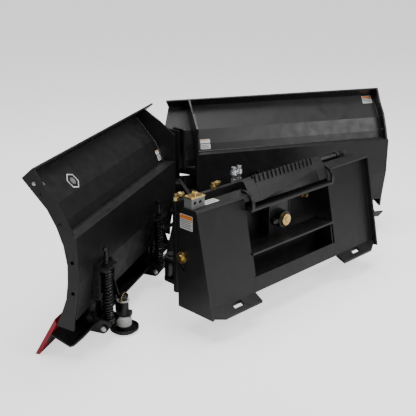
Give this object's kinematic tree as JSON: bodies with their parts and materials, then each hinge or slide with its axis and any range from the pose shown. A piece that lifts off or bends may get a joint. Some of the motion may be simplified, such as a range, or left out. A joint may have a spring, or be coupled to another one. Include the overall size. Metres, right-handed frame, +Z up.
{
  "type": "hydraulic v-plow",
  "caption": "Snow plow with two hinged wings in a vee, spring trip cutting edges, skid shoes, an oscillating carrier and a quick-attach mount.",
  "frame": {"origin": "on the ground under the middle of the plow, with both wings in the vee position", "axes": "+X to the plow's right seen from the machine, +Y forward in the direction of travel, +Z up"},
  "size_m": [2.2164, 1, 0.758],
  "materials": {
    "black_paint": "satin",
    "red_paint": "satin",
    "zinc": "satin",
    "yellow_zinc": "satin",
    "spring_black": "gloss",
    "chrome_rod": "polished",
    "white_spacer": "matte",
    "valve_grey": "satin"
  },
  "bodies": {
    "mount": {"left_pad": "black_paint", "right_pad": "black_paint", "top_plate": "black_paint", "hook_gussets": "black_paint", "upper_shelf": "black_paint", "lower_beam": "black_paint", "bearing_plate": "black_paint", "pivot_boss": "black_paint", "oscillation_pin": "yellow_zinc", "retaining_bolt": "spring_black", "step_tread": "black_paint", "valve_block": "valve_grey", "valve_cover": "yellow_zinc", "hose_rest": "black_paint"},
    "left_stop_pin": {"left_stop_pin": "yellow_zinc"},
    "carrier": {"carrier_plate": "black_paint", "carrier_hub": "black_paint", "push_frame": "black_paint", "frame_gussets": "black_paint", "nose_web": "black_paint", "hinge_pin": "zinc", "nose_guard": "black_paint", "cylinder_brackets": "black_paint", "hydraulic_fittings": "yellow_zinc", "quick_couplers": "zinc"},
    "left_wing": {"left_moldboard": "black_paint", "left_top_lip": "black_paint", "left_outer_rib": "black_paint", "left_hinge_rib": "black_paint", "left_hinge_ears": "black_paint", "left_back_brace": "black_paint", "left_trip_brackets": "black_paint", "left_wing_lugs": "black_paint", "left_trip_springs": "spring_black"},
    "left_trip_edge": {"left_cutting_edge": "red_paint", "left_edge_backing": "black_paint", "left_edge_levers": "black_paint"},
    "left_trip_rod_set": {"left_trip_rods": "spring_black"},
    "left_cylinder_barrel": {"left_cylinder_barrel": "black_paint"},
    "left_cylinder_rod": {"left_cylinder_rod": "chrome_rod"},
    "left_skid": {"left_skid_shoe": "black_paint", "left_skid_spacers": "white_spacer"},
    "right_wing": {"right_moldboard": "black_paint", "right_top_lip": "black_paint", "right_outer_rib": "black_paint", "right_hinge_rib": "black_paint", "right_hinge_ears": "black_paint", "right_back_brace": "black_paint", "right_trip_brackets": "black_paint", "right_wing_lugs": "black_paint", "right_trip_springs": "spring_black"},
    "right_trip_edge": {"right_cutting_edge": "red_paint", "right_edge_backing": "black_paint", "right_edge_levers": "black_paint"},
    "right_trip_rod_set": {"right_trip_rods": "spring_black"},
    "right_cylinder_barrel": {"right_cylinder_barrel": "black_paint"},
    "right_cylinder_rod": {"right_cylinder_rod": "chrome_rod"},
    "right_skid": {"right_skid_shoe": "black_paint", "right_skid_spacers": "white_spacer"}
  },
  "joints": [
    {"name": "oscillation", "type": "hinge", "parent": "mount", "child": "carrier", "pos_m": [0, -0.276, 0.355], "axis": [0, 1, 0], "range_deg": [-6, 6]},
    {"name": "stop_pin_pull", "type": "slide", "parent": "mount", "child": "left_stop_pin", "axis": [-1, 0, 0], "range_m": [0, 0.06]},
    {"name": "left_wing_swing", "type": "hinge", "parent": "carrier", "child": "left_wing", "pos_m": [0, 0.43, 0.336], "axis": [0, 0, -1], "range_deg": [0, 56]},
    {"name": "left_edge_trip", "type": "hinge", "parent": "left_wing", "child": "left_trip_edge", "pos_m": [-0.61442, 0.00807, 0.12], "axis": [-0.8829, -0.4695, 0], "range_deg": [0, 45], "stiffness_Nm_per_rad": 300, "springref_deg": -34.38, "deforming": ["left_trip_springs"]},
    {"name": "left_rod_tilt", "type": "hinge", "parent": "left_trip_edge", "child": "left_trip_rod_set", "pos_m": [-0.58813, -0.04137, 0.082], "axis": [-0.8829, -0.4695, 0], "range_deg": [-42, 0]},
    {"name": "left_barrel_turn", "type": "hinge", "parent": "carrier", "child": "left_cylinder_barrel", "pos_m": [-0.532, -0.211, 0.24], "axis": [0, 0, 1], "range_deg": [0, 22]},
    {"name": "left_rod_turn", "type": "hinge", "parent": "left_wing", "child": "left_cylinder_rod", "pos_m": [-0.09801, 0.19771, 0.24], "axis": [0, 0, 1], "range_deg": [0, 78]},
    {"name": "left_skid_turn", "type": "hinge", "parent": "left_wing", "child": "left_skid", "pos_m": [-0.73814, -0.14265, 0.1], "axis": [0, 0, 1], "continuous": true},
    {"name": "right_wing_swing", "type": "hinge", "parent": "carrier", "child": "right_wing", "pos_m": [0, 0.43, 0.336], "axis": [0, 0, 1], "range_deg": [0, 56]},
    {"name": "right_edge_trip", "type": "hinge", "parent": "right_wing", "child": "right_trip_edge", "pos_m": [0.61442, 0.00807, 0.12], "axis": [-0.8829, 0.4695, 0], "range_deg": [0, 45], "stiffness_Nm_per_rad": 300, "springref_deg": -34.38, "deforming": ["right_trip_springs"]},
    {"name": "right_rod_tilt", "type": "hinge", "parent": "right_trip_edge", "child": "right_trip_rod_set", "pos_m": [0.58813, -0.04137, 0.082], "axis": [-0.8829, 0.4695, 0], "range_deg": [-42, 0]},
    {"name": "right_barrel_turn", "type": "hinge", "parent": "carrier", "child": "right_cylinder_barrel", "pos_m": [0.532, -0.211, 0.24], "axis": [0, 0, -1], "range_deg": [0, 22]},
    {"name": "right_rod_turn", "type": "hinge", "parent": "right_wing", "child": "right_cylinder_rod", "pos_m": [0.09801, 0.19771, 0.24], "axis": [0, 0, -1], "range_deg": [0, 78]},
    {"name": "right_skid_turn", "type": "hinge", "parent": "right_wing", "child": "right_skid", "pos_m": [0.73814, -0.14265, 0.1], "axis": [0, 0, 1], "continuous": true}
  ],
  "couplings": [
    {"joint": "left_rod_tilt", "follows": "left_edge_trip", "ratio": -0.913},
    {"joint": "left_barrel_turn", "follows": "left_wing_swing", "ratio": 0.391},
    {"joint": "left_rod_turn", "follows": "left_wing_swing", "ratio": 1.391},
    {"joint": "right_rod_tilt", "follows": "right_edge_trip", "ratio": -0.913},
    {"joint": "right_barrel_turn", "follows": "right_wing_swing", "ratio": 0.391},
    {"joint": "right_rod_turn", "follows": "right_wing_swing", "ratio": 1.391}
  ]
}
